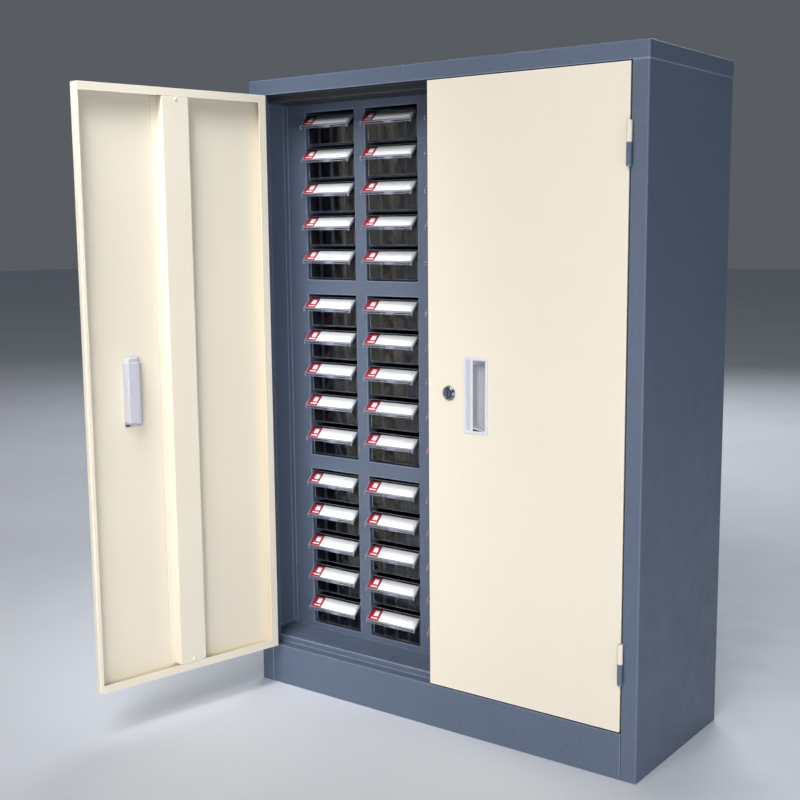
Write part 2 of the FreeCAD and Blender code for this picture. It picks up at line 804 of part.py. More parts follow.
def lock_barrel():
    """Round escutcheon and threaded body, bored for the plug."""
    body = new_body("lock_barrel")
    points = [
        ("Sizes.plug_bore", "-Sizes.bezel_proud"),
        ("Sizes.bezel_radius - Sizes.bezel_chamfer", "-Sizes.bezel_proud"),
        ("Sizes.bezel_radius", "-Sizes.bezel_proud + Sizes.bezel_chamfer"),
        ("Sizes.bezel_radius", "0"),
        ("Sizes.barrel_radius", "0"),
        ("Sizes.barrel_radius", "Sizes.barrel_length"),
        ("Sizes.plug_bore", "Sizes.barrel_length"),
    ]
    sketch = outline(body, "barrel_profile", "XY_Plane", points)
    turn = body.newObject("PartDesign::Revolution", "barrel_turn")
    turn.Profile = sketch
    turn.ReferenceAxis = (sketch, ["V_Axis"])
    turn.Angle = 360.0
    sketch.Visibility = False
    place_on_door(body, False, "Sizes.lock_reach", SKIN, "Sizes.lock_height")


def hexagon(body, name, flats, offset="0"):
    """A hexagon in the XZ plane, points at the top and bottom."""
    corner = f"({flats} / sqrt(3))"
    points = [(f"{corner} * sin({60 * i}deg)", f"{corner} * cos({60 * i}deg)") for i in range(6)]
    return outline(body, name, "XZ_Plane", points, offset)


def lock_nut():
    body = new_body("lock_nut")
    pad(body, hexagon(body, "nut_hexagon", "Sizes.nut_flats"), "Sizes.nut_thick")
    pocket(body, disc(body, "nut_hole", "XZ_Plane", "0", "0", "Sizes.barrel_hole", "Sizes.nut_thick"),
           "Sizes.nut_thick")
    place_on_door(body, False, "Sizes.lock_reach", f"{SKIN} + Sizes.gauge + Sizes.nut_thick",
                  "Sizes.lock_height")


def lock_plug():
    """The turning plug with its keyway."""
    body = new_body("lock_plug")
    pad(body, disc(body, "plug_round", "XZ_Plane", "0", "0", "Sizes.plug_radius",
                   "Sizes.plug_proud - Sizes.plug_length"), "Sizes.plug_length")
    half_x = "Sizes.keyway_width / 2"
    half_z = "Sizes.keyway_length / 2"
    slot = rectangle(body, "keyway", "XZ_Plane", "-" + half_x, half_x, "-" + half_z, half_z,
                     "Sizes.plug_proud")
    pocket(body, slot, "Sizes.keyway_depth")
    place_on_door(body, False, "Sizes.lock_reach", SKIN, "Sizes.lock_height")


def lock_cam():
    """The latch tongue on the back of the plug, pointing up while unlocked."""
    body = new_body("lock_cam")
    half = "Sizes.cam_width / 2"
    chamfer = "Sizes.cam_width / 4"
    points = [
        ("-" + half, "-" + half),
        (half, "-" + half),
        (half, f"Sizes.cam_length - {chamfer}"),
        (f"{half} - {chamfer}", "Sizes.cam_length"),
        (f"-{half} + {chamfer}", "Sizes.cam_length"),
        ("-" + half, f"Sizes.cam_length - {chamfer}"),
    ]
    pad(body, outline(body, "cam_blank", "XZ_Plane", points), "Sizes.cam_thick")
    pocket(body, disc(body, "cam_hole", "XZ_Plane", "0", "0", "Sizes.cam_hole_radius",
                      "Sizes.cam_thick"), "Sizes.cam_thick")
    place_on_door(body, False, "Sizes.lock_reach",
                  f"{SKIN} - Sizes.plug_proud + Sizes.plug_length + Sizes.cam_thick",
                  "Sizes.lock_height")


def cam_screw():
    body = new_body("cam_screw")
    pad(body, hexagon(body, "screw_hexagon", "Sizes.cam_screw_flats", "-Sizes.cam_screw_head"),
        "Sizes.cam_screw_head")
    pad(body, disc(body, "screw_shank", "XZ_Plane", "0", "0", "Sizes.cam_screw_radius"),
        "Sizes.cam_thick")
    place_on_door(body, False, "Sizes.lock_reach",
                  f"{SKIN} - Sizes.plug_proud + Sizes.plug_length + Sizes.cam_thick",
                  "Sizes.lock_height")


# ---------------------------------------------------------------- build and write

PATTERNS = ("tray_pattern", "card_pattern")


def build():
    side_panel("left_side_panel", "-")
    side_panel("right_side_panel", "")
    top_cover()
    back_panel()
    notched_sheet("base_plate", f"{FRONT} + Sizes.gauge", "0")
    plinth()
    notched_sheet("floor_shelf", REBATE, f"{FLOOR_TOP} - Sizes.gauge")
    header_rail()
    jamb_liners()
    drawer_grille()
    drawer_rack()
    drawers()
    for left in (True, False):
        door_panel(left)
        door_stiffener(left)
        door_pull(left)
        door_knuckles(left)
    case_knuckles()
    hinge_pins()
    lock_barrel()
    lock_nut()
    lock_plug()
    lock_cam()
    cam_screw()
    doc.recompute()


def write_parts():
    """Checks every object, then writes one file for each sub-part."""
    for thing in doc.Objects:
        if "Invalid" in thing.State or "Error" in thing.State:
            raise RuntimeError(f"{thing.Label} is {thing.State}")
    os.makedirs("parts", exist_ok=True)
    kinds = ("PartDesign::Body", "Part::Feature")
    for thing in doc.Objects:
        if thing.TypeId not in kinds or thing.Label in PATTERNS:
            continue
        if thing.Shape.isNull() or not thing.Shape.isValid():
            raise RuntimeError(f"{thing.Label} has a bad shape")
        thing.Shape.exportStep(os.path.join("parts", thing.Label + ".step"))


fill_sheet()
build()
write_parts()
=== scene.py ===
"""Looks of the parts organizer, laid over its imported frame.

Shape tables are in millimetres; objects are in metres, in the row frame.
"""

import json
import math

import bmesh
import bpy
from mathutils import Matrix, Vector


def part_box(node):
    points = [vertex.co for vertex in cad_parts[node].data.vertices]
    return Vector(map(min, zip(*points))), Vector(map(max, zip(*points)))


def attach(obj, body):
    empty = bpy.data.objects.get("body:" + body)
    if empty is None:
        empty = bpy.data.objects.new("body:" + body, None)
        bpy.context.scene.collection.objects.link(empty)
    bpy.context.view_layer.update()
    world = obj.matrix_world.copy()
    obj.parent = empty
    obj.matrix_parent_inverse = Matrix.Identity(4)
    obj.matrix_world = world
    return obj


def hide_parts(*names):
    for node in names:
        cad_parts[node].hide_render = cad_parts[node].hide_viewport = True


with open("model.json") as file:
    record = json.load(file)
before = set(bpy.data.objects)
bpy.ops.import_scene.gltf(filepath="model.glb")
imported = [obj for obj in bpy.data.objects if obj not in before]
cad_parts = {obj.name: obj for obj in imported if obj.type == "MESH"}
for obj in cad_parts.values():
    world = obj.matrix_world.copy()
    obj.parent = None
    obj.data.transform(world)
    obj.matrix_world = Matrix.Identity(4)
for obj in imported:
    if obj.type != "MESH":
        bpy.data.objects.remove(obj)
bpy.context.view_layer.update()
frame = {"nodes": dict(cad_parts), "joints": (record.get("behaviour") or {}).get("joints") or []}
nodes = frame["nodes"]
scene = bpy.context.scene
MM = 0.001

# ---------------------------------------------------------------- node materials


class Nodes:
    """A short way to write a material's node tree."""

    def __init__(self, name):
        self.material = bpy.data.materials.new(name)
        self.material.use_nodes = True
        self.tree = self.material.node_tree
        self.tree.nodes.clear()
        output = self.tree.nodes.new("ShaderNodeOutputMaterial")
        self.shader = self.tree.nodes.new("ShaderNodeBsdfPrincipled")
        self.tree.links.new(self.shader.outputs["BSDF"], output.inputs["Surface"])
        self.place = self.tree.nodes.new("ShaderNodeTexCoord").outputs["Object"]

    def link(self, value, socket):
        if isinstance(value, bpy.types.NodeSocket):
            self.tree.links.new(value, socket)
        else:
            socket.default_value = value

    def noise(self, scale, detail=2.0, rough=0.5, stretch=None):
        node = self.tree.nodes.new("ShaderNodeTexNoise")
        node.inputs["Scale"].default_value = scale
        node.inputs["Detail"].default_value = detail
        node.inputs["Roughness"].default_value = rough
        place = self.place
        if stretch:
            mapping = self.tree.nodes.new("ShaderNodeMapping")
            mapping.inputs["Scale"].default_value = stretch
            self.link(place, mapping.inputs["Vector"])
            place = mapping.outputs["Vector"]
        self.link(place, node.inputs["Vector"])
        return node.outputs["Fac"]

    def cells(self, scale):
        node = self.tree.nodes.new("ShaderNodeTexVoronoi")
        node.feature = "SMOOTH_F1"
        node.inputs["Scale"].default_value = scale
        self.link(self.place, node.inputs["Vector"])
        return node.outputs["Distance"]

    def spread(self, value, low, high, to_low, to_high):
        """Maps the range low..high of a value to to_low..to_high, and clamps it."""
        node = self.tree.nodes.new("ShaderNodeMapRange")
        for name, item in (("Value", value), ("From Min", low), ("From Max", high),
                           ("To Min", to_low), ("To Max", to_high)):
            self.link(item, node.inputs[name])
        return node.outputs["Result"]

    def mix(self, factor, first, second, how="MIX"):
        node = self.tree.nodes.new("ShaderNodeMix")
        node.data_type = "RGBA"
        node.blend_type = how
        self.link(factor, node.inputs["Factor"])
        colours = [s for s in node.inputs if s.type == "RGBA"]
        for value, socket in zip((first, second), colours):
            self.link(value, socket)
        return [s for s in node.outputs if s.type == "RGBA"][0]

    def sums(self, how, *values):
        node = self.tree.nodes.new("ShaderNodeMath")
        node.operation = how
        for value, socket in zip(values, node.inputs):
            self.link(value, socket)
        return node.outputs[0]

    def bump(self, height, distance, strength=1.0, under=None):
        node = self.tree.nodes.new("ShaderNodeBump")
        node.inputs["Distance"].default_value = distance
        node.inputs["Strength"].default_value = strength
        self.link(height, node.inputs["Height"])
        if under:
            self.link(under, node.inputs["Normal"])
        return node.outputs["Normal"]

    def edges(self, radius):
        """Near 1 on folds and cut edges, 0 on flat faces."""
        soft = self.tree.nodes.new("ShaderNodeBevel")
        soft.samples = 4
        soft.inputs["Radius"].default_value = radius
        real = self.tree.nodes.new("ShaderNodeNewGeometry")
        dot = self.tree.nodes.new("ShaderNodeVectorMath")
        dot.operation = "DOT_PRODUCT"
        self.link(soft.outputs["Normal"], dot.inputs[0])
        self.link(real.outputs["Normal"], dot.inputs[1])
        return self.spread(dot.outputs["Value"], 0.985, 0.8, 0.0, 1.0)

    def slot_shade(self, reach):
        """1 on open faces, falling to 0 inside slots narrower than the reach; it masks painted shade in gaps
        and creases.
        """
        node = self.tree.nodes.new("ShaderNodeAmbientOcclusion")
        node.samples = 6
        node.inputs["Distance"].default_value = reach
        return self.spread(node.outputs["AO"], 0.12, 0.5, 0.0, 1.0)

    def surface(self, **sockets):
        for name, value in sockets.items():
            self.link(value, self.shader.inputs[name.replace("_", " ")])
        return self.material


def rgb(red, green, blue):
    """A linear colour from 0-255 display values."""

    def linear(value):
        value /= 255
        return value / 12.92 if value <= 0.04045 else ((value + 0.055) / 1.055) ** 2.4

    return (linear(red), linear(green), linear(blue), 1.0)


EDGE_REACH = 0.0026
SLOT_REACH = 0.005
# Colour of the painted shade in slots and gaps.
SLOT_SHADE_COLOUR = rgb(20, 20, 22)


def powder_coat(name, colour, dark, light, fold_highlight, peel, speckle, gloss):
    """Baked powder paint: orange-peel skin, fine speckle, slow drift, a painted highlight on folds and
    painted shade in slots.
    """
    n = Nodes(name)
    drift = n.spread(n.noise(5.0, 4.0), 0.3, 0.7, 0.0, 0.35)
    grain = n.spread(n.noise(420.0, 3.0, 0.65), 0.32, 0.68, 0.0, speckle)
    tone = n.mix(drift, colour, dark)
    tone = n.mix(grain, tone, light)
    patches = n.spread(n.noise(90.0, 4.0), 0.35, 0.65, 0.6, 0.95)
    # Painted highlight: folds and cut edges are lightened in patches towards the highlight colour.
    tone = n.mix(n.sums("MULTIPLY", n.edges(EDGE_REACH), patches), tone, fold_highlight)
    # Painted shade: faces deep in slots, gaps and creases are darkened towards near-black.
    tone = n.mix(n.slot_shade(SLOT_REACH), SLOT_SHADE_COLOUR, tone)
    scuff = n.spread(n.noise(28.0, 5.0, 0.6), 0.35, 0.7, gloss - 0.05, gloss + 0.09)
    skin = n.bump(n.cells(310.0), 0.00012, peel)
    skin = n.bump(n.noise(900.0, 2.0), 0.00005, peel, skin)
    return n.surface(Base_Color=tone, Roughness=scuff, Normal=skin)


PLASTIC_EDGE_HIGHLIGHT = rgb(250, 250, 252)


def moulded(name, colour, shade, gloss=0.42, grain=0.25):
    """Injection-moulded plastic with a spark-eroded grain, slight flow marks and edges paled as a painted
    highlight.
    """
    n = Nodes(name)
    tone = n.mix(n.spread(n.noise(60.0, 4.0), 0.3, 0.7, 0.0, 0.4), colour, shade)
    # Painted highlight along edges.
    tone = n.mix(n.sums("MULTIPLY", n.edges(0.0008), 0.35), tone, PLASTIC_EDGE_HIGHLIGHT)
    rough = n.spread(n.noise(200.0, 3.0), 0.3, 0.7, gloss - 0.06, gloss + 0.08)
    skin = n.bump(n.noise(1500.0, 2.0), 0.00004, grain)
    return n.surface(Base_Color=tone, Roughness=rough, Normal=skin)


def metal(name, colour, shade, gloss, scratch, stretch):
    """Bare or plated metal with drawn scratches and a cloudy finish."""
    n = Nodes(name)
    tone = n.mix(n.spread(n.noise(120.0, 5.0), 0.3, 0.7, 0.0, 0.5), colour, shade)
    rough = n.spread(n.noise(500.0, 4.0, 0.6, stretch), 0.3, 0.7, gloss - 0.05, gloss + 0.1)
    skin = n.bump(n.noise(1200.0, 3.0, 0.6, stretch), 0.00002, scratch)
    return n.surface(Base_Color=tone, Metallic=1.0, Roughness=rough, Normal=skin)


def clear_styrene(name, tint, gloss, clear=1.0):
    """Smoky clear moulding with faint ripples and fine wear. With clear below 1 it turns paler and less
    clear; edge strips use that as a painted highlight.
    """
    n = Nodes(name)
    tone = n.mix(n.spread(n.noise(30.0, 3.0), 0.35, 0.7, 0.0, 0.3), tint, rgb(196, 202, 214))
    rough = n.spread(n.noise(220.0, 5.0, 0.7), 0.4, 0.75, gloss, gloss + 0.08)
    skin = n.bump(n.noise(55.0, 2.0), 0.0003, 0.12)
    return n.surface(Base_Color=tone, Roughness=rough, Normal=skin,
                     Transmission_Weight=clear, IOR=1.5)


def printed(name, ink, faded):
    """Matt printed card with paper tooth and uneven ink."""
    n = Nodes(name)
    tone = n.mix(n.spread(n.noise(90.0, 5.0, 0.6), 0.35, 0.7, 0.0, 0.6), ink, faded)
    rough = n.spread(n.noise(600.0, 3.0), 0.3, 0.7, 0.5, 0.68)
    skin = n.bump(n.noise(1400.0, 3.0), 0.00004, 0.3)
    return n.surface(Base_Color=tone, Roughness=rough, Normal=skin)


CASE = powder_coat("case_powder_coat", rgb(85, 97, 117), rgb(75, 86, 105), rgb(119, 132, 155),
                   rgb(170, 182, 208), 0.35, 0.30, 0.42)
# Painted shade: the case paint is darkened for the header rail, which lies in the top cover's shadow.
HEADER_PAINTED_SHADE = powder_coat("header_painted_shade_coat", rgb(41, 43, 49), rgb(35, 37, 42), rgb(64, 68, 77),
                     rgb(94, 101, 113), 0.35, 0.30, 0.46)
CREAM = powder_coat("door_powder_coat", rgb(236, 226, 207), rgb(230, 219, 199), rgb(247, 242, 230),
                    rgb(248, 244, 234), 0.22, 0.18, 0.42)
PULL = moulded("pull_grey_plastic", rgb(221, 221, 230), rgb(212, 212, 222))
PULL_WELL_SHADE = moulded("pull_well_painted_shade", rgb(182, 181, 187), rgb(172, 171, 178), 0.6, 0.5)
CUP = moulded("pull_cup_plastic", rgb(200, 200, 211), rgb(190, 190, 202))
GRIP = moulded("pull_reeded_plastic", rgb(196, 197, 207), rgb(187, 188, 199), 0.5, 0.35)
# Painted reflection: the chrome is darkened and tinted blue to stand in for dark surroundings mirrored in it.
CHROME = metal("lock_chrome_plate", rgb(146, 152, 168), rgb(112, 120, 138), 0.1, 0.12, (1, 1, 1))
ZINC = metal("zinc_plate", rgb(178, 176, 168), rgb(150, 150, 150), 0.34, 0.4, (1, 1, 0.1))
CLEAR = clear_styrene("clear_drawer_plastic", rgb(176, 182, 196), 0.03)
# Frosted ribs; the same paler plastic also paints highlights on a corner post and the foot strip.
FROSTED_RIBS_AND_EDGE_HIGHLIGHT = clear_styrene("clear_drawer_ribs_and_edge_highlight", rgb(206, 212, 228), 0.3, 0.86)
PAINTED_EDGE_HIGHLIGHT = clear_styrene("clear_drawer_painted_edge_highlight", rgb(190, 194, 212), 0.14, 0.45)
PAPER = printed("label_white", rgb(251, 253, 255), rgb(247, 249, 254))
RED = printed("label_red", rgb(178, 8, 48), rgb(154, 5, 40))
KEYHOLE = moulded("keyhole_dark", rgb(26, 26, 30), rgb(14, 14, 18), 0.5)

# ---------------------------------------------------------------- mesh helpers


class Shape:
    """Collects closed solids in one mesh. Points are millimetres in the piece's own frame."""

    def __init__(self):
        self.mesh = bmesh.new()
        self.paint = 0

    def face(self, points):
        made = self.mesh.faces.new(points)
        made.material_index = self.paint
        made.smooth = True

    def skin(self, low, high):
        """A band of faces between two rings of equally many points."""
        for i in range(len(low)):
            j = (i + 1) % len(low)
            self.face((low[i], low[j], high[j], high[i]))

    def loft(self, rings):
        """A skin over rings of equally many points, closed at both ends."""
        rows = [[self.mesh.verts.new(p) for p in ring] for ring in rings]
        for low, high in zip(rows, rows[1:]):
            self.skin(low, high)
        self.face(rows[0][::-1])
        self.face(rows[-1])

    def tube(self, rings):
        """A skin over rings whose last ring joins the first."""
        rows = [[self.mesh.verts.new(p) for p in ring] for ring in rings]
        for low, high in zip(rows, rows[1:] + rows[:1]):
            self.skin(low, high)

    def prism(self, section, start, end, turn):
        """A section of (a, b) points pushed from start to end; turn places (a, b, t)."""
        self.loft([[turn(a, b, t) for a, b in section] for t in (start, end)])

    def box(self, low, high):
        (x0, y0, z0), (x1, y1, z1) = low, high
        self.loft([[(x0, y0, z), (x1, y0, z), (x1, y1, z), (x0, y1, z)] for z in (z0, z1)])

    def spin(self, profile, turn, steps=48):
        """A turned solid; profile is (radius, height) pairs from axis to axis."""
        self.loft([circle(radius, height, turn, steps) for radius, height in profile])

    def band(self, profile, turn, steps=48):
        """A turned ring; profile is a closed loop of (radius, height) pairs."""
        self.tube([circle(radius, height, turn, steps) for radius, height in profile])

    def data(self, name, materials):
        bmesh.ops.recalc_face_normals(self.mesh, faces=self.mesh.faces)
        bmesh.ops.scale(self.mesh, vec=(MM, MM, MM), verts=self.mesh.verts)
        mesh = bpy.data.meshes.new(name)
        self.mesh.to_mesh(mesh)
        self.mesh.free()
        for material in materials:
            mesh.materials.append(material)
        return mesh


def along_x(a, b, t):
    return (t, a, b)


def along_z(a, b, t):
    return (a, b, t)


def circle(radius, height, turn, steps):
    """Points round an axis; turn places (a, b, height)."""
    angles = [2 * math.pi * i / steps for i in range(steps)]
    return [turn(radius * math.cos(angle), radius * math.sin(angle), height) for angle in angles]


def rounded(x0, x1, y0, y1, radius, steps=5):
    """Points of a rectangle with rounded corners."""
    corners = [(x0, y0, 1, 1, 180), (x1, y0, -1, 1, 270), (x1, y1, -1, -1, 0), (x0, y1, 1, -1, 90)]
    points = []
    for x, y, sx, sy, start in corners:
        for i in range(steps + 1):
            angle = math.radians(start + 90 * i / steps)
            points.append((x + sx * radius + radius * math.cos(angle),
                           y + sy * radius + radius * math.sin(angle)))
    return points


def round_edges(thing, width, weld=False):
    """Rolls hard edges over by a small radius, so that they catch light as real ones do."""
    if weld:
        thing.modifiers.new("weld", "WELD").merge_threshold = 1e-5
        flatten = thing.modifiers.new("flatten", "DECIMATE")
        flatten.decimate_type = "DISSOLVE"
        flatten.angle_limit = math.radians(0.4)
    roll = thing.modifiers.new("roll", "BEVEL")
    roll.width = width * MM
    roll.segments = 2
    roll.limit_method = "ANGLE"
    roll.angle_limit = math.radians(35)
    roll.use_clamp_overlap = True
    roll.harden_normals = True
    even = thing.modifiers.new("even", "WEIGHTED_NORMAL")
    even.keep_sharp = True


def add(name, mesh, body, spot=None, replaces=(), roll=0.3):
    """Puts a mesh in the scene on one CAD body. spot is a matrix in the row frame."""
    thing = bpy.data.objects.new(name, mesh)
    scene.collection.objects.link(thing)
    if spot is not None:
        thing.matrix_world = spot
    if roll:
        round_edges(thing, roll)
    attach(thing, body)
    if replaces:
        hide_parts(*replaces)
    return thing


def at(x, y, z):
    """A place in metres."""
    return Matrix.Translation((x, y, z))


# ---------------------------------------------------------------- sheet metal from the frame

SHEET_ROLL = 0.4
SMALL_ROLL = 0.3
FINISH = {
    CASE: ("left_side_panel", "right_side_panel", "top_cover", "back_panel", "base_plate", "plinth",
           "floor_shelf", "jamb_liners", "drawer_rack", "case_hinge_knuckles"),
    HEADER_PAINTED_SHADE: ("header_rail",),
    CREAM: ("left_door_panel", "right_door_panel", "left_door_stiffener", "right_door_stiffener",
            "left_door_knuckles", "right_door_knuckles"),
    ZINC: ("hinge_pins", "lock_nut", "lock_cam", "cam_screw"),
}
for material, names in FINISH.items():
    for name in names:
        node = nodes[name]
        node.data.materials.clear()
        node.data.materials.append(material)
        for polygon in node.data.polygons:
            polygon.use_smooth = True
        if name != "jamb_liners":
            round_edges(node, SMALL_ROLL if "pin" in name or "cam" in name else SHEET_ROLL, weld=True)

# ---------------------------------------------------------------- paint line where two sheets meet


def butt_line():
    """A thin ridge of paint down the joint between the plinth and the left side panel."""
    low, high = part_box("plinth")
    shape = Shape()
    joint = low.x / MM - 0.1
    face = low.y / MM
    end_gap = 1.5
    ridge = [(-0.5, 0.3), (-0.25, -0.1), (0.0, -0.15), (0.25, -0.1), (0.5, 0.3)]
    shape.prism([(joint + a, face + b) for a, b in ridge], end_gap, high.z / MM - end_gap, along_z)
    add("plinth_paint_line", shape.data("plinth_paint_line", [CASE]), "case", roll=None)


butt_line()

# ---------------------------------------------------------------- drawer grille


def flat_sheet(loops, half_thick, edge):
    """A level plate with holes, from closed loops of (a, b) points; its thickness is along local Z."""
    curve = bpy.data.curves.new("sheet", "CURVE")
    curve.dimensions = "2D"
    curve.fill_mode = "BOTH"
    curve.extrude = (half_thick - edge) * MM
    curve.bevel_depth = edge * MM
    curve.bevel_resolution = 2
    curve.offset = -edge * MM
    for loop in loops:
        spline = curve.splines.new("POLY")
        spline.points.add(len(loop) - 1)
        for point, (a, b) in zip(spline.points, loop):
            point.co = (a * MM, b * MM, 0, 1)
        spline.use_cyclic_u = True
    holder = bpy.data.objects.new("sheet", curve)
    scene.collection.objects.link(holder)
    bpy.context.view_layer.update()
    mesh = bpy.data.meshes.new_from_object(holder.evaluated_get(bpy.context.evaluated_depsgraph_get()))
    bpy.data.objects.remove(holder)
    bpy.data.curves.remove(curve)
    return mesh


drawer_names = sorted(name for name in nodes if name.startswith("drawer_") and name[7].isdigit())
first_column = [name for name in drawer_names if name.startswith("drawer_1_")]
column_homes = []
for name in ("drawer_1_01", "drawer_2_01", "column_3_drawers", "column_4_drawers", "column_5_drawers"):
    low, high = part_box(name)
    column_homes.append((low.x + high.x) / 2)
row_homes = [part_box(name)[0].z for name in first_column]
LIP_REACH = 18.5
TRAY_LIFT = 2.2
ROW_PITCH = 54.5
ROWS_PER_BLOCK = 5
BAY_WIDTH = 103.0
SHEET_THICK = 1.2
SHEET_EDGE = 0.35
WINDOW_CORNER = 1.6
HEM_DEPTH = 7.5
HEM_THICK = 1.1
tray_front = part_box("drawer_1_01")[0].y + LIP_REACH * MM


def grille():
    """The punched front sheet and the hems above and below its windows."""
    low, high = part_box("drawer_grille")
    loops = [[(low.x / MM, low.z / MM), (high.x / MM, low.z / MM),
              (high.x / MM, high.z / MM), (low.x / MM, high.z / MM)]]
    windows = []
    for centre in column_homes:
        for first in range(0, len(row_homes), ROWS_PER_BLOCK):
            top = row_homes[first] / MM - TRAY_LIFT + ROW_PITCH
            bottom = row_homes[first + ROWS_PER_BLOCK - 1] / MM - TRAY_LIFT
            middle = centre / MM
            window = (middle - BAY_WIDTH / 2, middle + BAY_WIDTH / 2, bottom, top)
            windows.append(window)
            loops.append(rounded(*window, WINDOW_CORNER))
    mesh = flat_sheet(loops, SHEET_THICK / 2, SHEET_EDGE)
    mesh.transform(Matrix.Rotation(math.pi / 2, 4, "X"))
    mesh.transform(Matrix.Translation((0, (low.y + high.y) / 2, 0)))
    mesh.materials.append(CASE)
    add("grille_sheet", mesh, "case", replaces=("drawer_grille",), roll=None)
    hems = Shape()
    front = low.y / MM + 0.5
    for x0, x1, z0, z1 in windows:
        for z, way in ((z0, -1), (z1, 1)):
            back, outer = front + HEM_DEPTH, z + way * HEM_THICK
            hems.prism([(front, z), (back, z), (back, outer), (front, outer)], x0 + 0.6, x1 - 0.6, along_x)
    add("grille_hems", hems.data("grille_hems", [CASE]), "case")


grille()

# ---------------------------------------------------------------- drawers

TRAY = {"half": 49.75, "foot_half": 47.8, "length": 180.0, "height": 47.5, "wall": 1.5}
END_RIBS = (-24.9, 0.0, 24.9)
DIVIDER_SLOTS = (45.0, 90.0, 135.0)
LIP = {"fall": 17.5, "thick": 3.8, "recess": 0.8, "end": 1.6, "foot": 2.4}
SLOPE = LIP["fall"] / LIP_REACH


def lip_top(y):
    """Height of the label lip's upper face at a distance y before the front wall, y below 0."""
    return TRAY["height"] + y * SLOPE


def tray_half(z):
    return TRAY["foot_half"] + (TRAY["half"] - TRAY["foot_half"]) * z / TRAY["height"]


def tray_mesh():
    """A clear tray. Paint 0 is its walls, 1 its ribs, one corner post and the foot strip, and 2 the rims and
    the other corner post. On posts, strip and rims the paler paints are painted highlight.
    """
    shape = Shape()
    length = TRAY["length"]
    height = TRAY["height"]
    wall = TRAY["wall"]

    def ring(z, inset, corner):
        half = tray_half(z) - inset
        return [(x, y, z) for x, y in rounded(-half, half, inset, length - inset, corner, 4)]

    shape.loft([ring(0.6, 0.8, 1.6), ring(0.0, 1.6, 1.6)][::-1]
               + [ring(1.4, 0.3, 2.0), ring(height - 3.2, 0.0, 2.0), ring(height - 0.3, 0.0, 2.0),
                  ring(height, 0.3, 2.0), ring(height, wall - 0.3, 1.2), ring(height - 0.4, wall, 1.2),
                  ring(wall + 1.2, wall, 1.2), ring(wall, wall + 1.0, 1.2)])
    # Painted highlight: the rim faces take the paler edge plastic.
    for face in shape.mesh.faces:
        if face.calc_center_median().z > height - 0.35:
            face.material_index = 2
    rib_foot, rib_top = wall - 0.2, height - 2.0
    for x in END_RIBS:
        for way, y in ((1, wall - 0.15), (-1, length - wall + 0.15)):
            shape.paint = 1 if way > 0 else 0
            shape.prism([(x - 2.6, y), (x + 2.6, y), (x + 2.0, y + way * 2.2), (x - 2.0, y + way * 2.2)],
                        rib_foot, rib_top, along_z)
    shape.paint = 0
    for y in DIVIDER_SLOTS:
        for side in (-1, 1):
            for gap in (-1.6, 1.6):
                x = side * (TRAY["foot_half"] - wall + 0.1)
                shape.box((min(x, x - side * 1.0), y + gap - 0.5, rib_foot),
                          (max(x, x - side * 1.0), y + gap + 0.5, rib_top))
    # Painted highlight: the two front corner posts take the paler plastics.
    for side, paint, deep in ((-1, 2, 1.7), (1, 1, 1.2)):
        shape.paint = paint
        shape.loft([[(side * (tray_half(z) - a), y, z) for a, y in
                     ((0.25, 0.5), (0.7, -0.12), (deep, -0.12), (deep + 0.2, 1.4), (0.25, 2.0))]
                    for z in (0.9, height - 8.0)])
    foot = TRAY["foot_half"] - 2.4
    # Painted highlight: the foot strip along the front takes the paler rib plastic.
    shape.paint = 1
    shape.prism([(-0.12, 0.5), (0.9, 0.35), (0.9, 1.5), (-0.12, 1.2)], -foot, foot, along_x)
    lip_mesh(shape)
    return shape.data("tray", [CLEAR, FROSTED_RIBS_AND_EDGE_HIGHLIGHT, PAINTED_EDGE_HIGHLIGHT])


LIP_TAB = (-2.5, 13.5)


